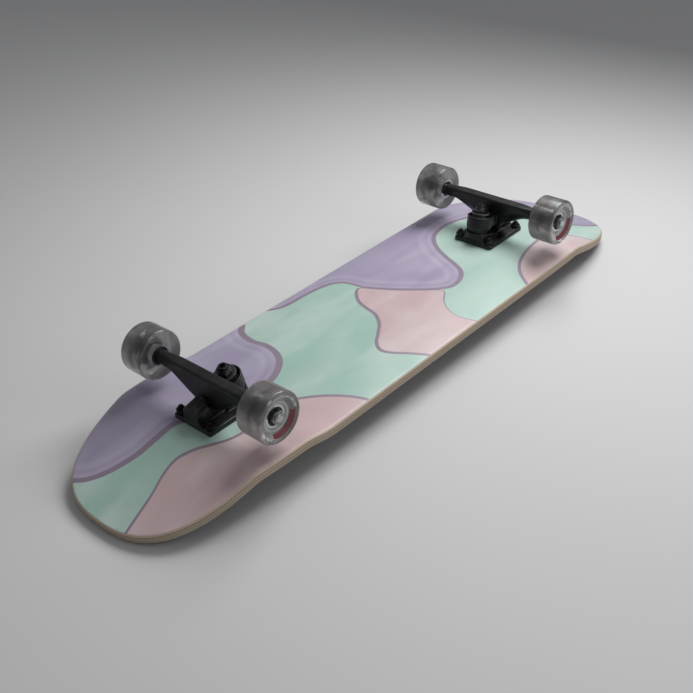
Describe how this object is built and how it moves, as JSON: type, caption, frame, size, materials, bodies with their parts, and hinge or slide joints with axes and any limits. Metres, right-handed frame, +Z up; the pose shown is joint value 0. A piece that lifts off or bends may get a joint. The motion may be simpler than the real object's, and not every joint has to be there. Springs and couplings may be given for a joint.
{
  "type": "skateboard",
  "caption": "Skateboard lying upside down: printed maple deck with kicked nose and tail, black trucks that steer on bushings, and smoke urethane wheels on ball bearings.",
  "frame": {"origin": "on the ground under the middle of the deck's length and width, with the board lying upside down on the tips of its nose and tail", "axes": "+X along the board to the nose, +Y across the board to the rider's right, +Z up, from the standing side to the wheels"},
  "size_m": [0.7464, 0.203, 0.1071],
  "materials": {
    "deck_maple": "printed face under satin lacquer over maple plies",
    "grip_tape": "coarse matt abrasive",
    "truck_black": "satin black powder coat",
    "pivot_rubber": "matt",
    "black_steel": "black oxide, semi gloss",
    "bushing_rubber": "satin urethane",
    "dark_washer": "dark zinc",
    "axle_steel": "satin",
    "axle_nut_steel": "satin",
    "bearing_steel": "ground",
    "bearing_shield": "satin black",
    "bearing_cage": "pressed",
    "bolt_black": "black oxide",
    "smoke_urethane": "translucent smoke grey, satin"
  },
  "bodies": {
    "board": {"deck": "deck_maple", "grip_tape": "grip_tape", "tail_baseplate": "truck_black", "tail_pivot_cup": "pivot_rubber", "tail_kingpin": "black_steel", "tail_kingpin_nut": "black_steel", "tail_bottom_bushing": "bushing_rubber", "tail_top_bushing": "bushing_rubber", "tail_bottom_washer": "dark_washer", "tail_top_washer": "dark_washer", "tail_mounting_bolts": "bolt_black", "tail_lock_nuts": "bolt_black", "nose_baseplate": "truck_black", "nose_pivot_cup": "pivot_rubber", "nose_kingpin": "black_steel", "nose_kingpin_nut": "black_steel", "nose_bottom_bushing": "bushing_rubber", "nose_top_bushing": "bushing_rubber", "nose_bottom_washer": "dark_washer", "nose_top_washer": "dark_washer", "nose_mounting_bolts": "bolt_black", "nose_lock_nuts": "bolt_black"},
    "tail_hanger": {"tail_hanger": "truck_black", "tail_axle": "axle_steel", "tail_axle_nuts": "axle_nut_steel", "tail_speed_washers": "axle_steel", "tail_bearing_spacers": "axle_steel", "tail_bearing_inner_rings": "bearing_steel"},
    "nose_hanger": {"nose_hanger": "truck_black", "nose_axle": "axle_steel", "nose_axle_nuts": "axle_nut_steel", "nose_speed_washers": "axle_steel", "nose_bearing_spacers": "axle_steel", "nose_bearing_inner_rings": "bearing_steel"},
    "tail_right_wheel": {"tail_right_wheel": "smoke_urethane", "tail_right_bearing_outer_rings": "bearing_steel", "tail_right_bearing_shields": "bearing_shield"},
    "tail_right_ball_set": {"tail_right_bearing_balls": "bearing_steel", "tail_right_bearing_cages": "bearing_cage"},
    "tail_left_wheel": {"tail_left_wheel": "smoke_urethane", "tail_left_bearing_outer_rings": "bearing_steel", "tail_left_bearing_shields": "bearing_shield"},
    "tail_left_ball_set": {"tail_left_bearing_balls": "bearing_steel", "tail_left_bearing_cages": "bearing_cage"},
    "nose_right_wheel": {"nose_right_wheel": "smoke_urethane", "nose_right_bearing_outer_rings": "bearing_steel", "nose_right_bearing_shields": "bearing_shield"},
    "nose_right_ball_set": {"nose_right_bearing_balls": "bearing_steel", "nose_right_bearing_cages": "bearing_cage"},
    "nose_left_wheel": {"nose_left_wheel": "smoke_urethane", "nose_left_bearing_outer_rings": "bearing_steel", "nose_left_bearing_shields": "bearing_shield"},
    "nose_left_ball_set": {"nose_left_bearing_balls": "bearing_steel", "nose_left_bearing_cages": "bearing_cage"}
  },
  "joints": [
    {"name": "tail_steer", "type": "hinge", "parent": "board", "child": "tail_hanger", "pos_m": [-0.20572, 0, 0.06562], "axis": [-0.9744, 0, -0.225], "range_deg": [-7, 7], "stiffness_Nm_per_rad": 25, "deforming": ["tail_bottom_bushing", "tail_top_bushing"]},
    {"name": "nose_steer", "type": "hinge", "parent": "board", "child": "nose_hanger", "pos_m": [0.19768, 0, 0.06562], "axis": [0.9744, 0, -0.225], "range_deg": [-7, 7], "stiffness_Nm_per_rad": 25, "deforming": ["nose_bottom_bushing", "nose_top_bushing"]},
    {"name": "tail_right_wheel_spin", "type": "hinge", "parent": "tail_hanger", "child": "tail_right_wheel", "pos_m": [-0.23052, 0, 0.08112], "axis": [0, 1, 0], "continuous": true},
    {"name": "tail_right_ball_roll", "type": "hinge", "parent": "tail_hanger", "child": "tail_right_ball_set", "pos_m": [-0.23052, 0, 0.08112], "axis": [0, 1, 0], "continuous": true},
    {"name": "tail_left_wheel_spin", "type": "hinge", "parent": "tail_hanger", "child": "tail_left_wheel", "pos_m": [-0.23052, 0, 0.08112], "axis": [0, 1, 0], "continuous": true},
    {"name": "tail_left_ball_roll", "type": "hinge", "parent": "tail_hanger", "child": "tail_left_ball_set", "pos_m": [-0.23052, 0, 0.08112], "axis": [0, 1, 0], "continuous": true},
    {"name": "nose_right_wheel_spin", "type": "hinge", "parent": "nose_hanger", "child": "nose_right_wheel", "pos_m": [0.22248, 0, 0.08112], "axis": [0, 1, 0], "continuous": true},
    {"name": "nose_right_ball_roll", "type": "hinge", "parent": "nose_hanger", "child": "nose_right_ball_set", "pos_m": [0.22248, 0, 0.08112], "axis": [0, 1, 0], "continuous": true},
    {"name": "nose_left_wheel_spin", "type": "hinge", "parent": "nose_hanger", "child": "nose_left_wheel", "pos_m": [0.22248, 0, 0.08112], "axis": [0, 1, 0], "continuous": true},
    {"name": "nose_left_ball_roll", "type": "hinge", "parent": "nose_hanger", "child": "nose_left_ball_set", "pos_m": [0.22248, 0, 0.08112], "axis": [0, 1, 0], "continuous": true}
  ],
  "couplings": [
    {"joint": "tail_right_ball_roll", "follows": "tail_right_wheel_spin", "ratio": 0.6289},
    {"joint": "tail_left_ball_roll", "follows": "tail_left_wheel_spin", "ratio": 0.6289},
    {"joint": "nose_right_ball_roll", "follows": "nose_right_wheel_spin", "ratio": 0.6289},
    {"joint": "nose_left_ball_roll", "follows": "nose_left_wheel_spin", "ratio": 0.6289}
  ]
}
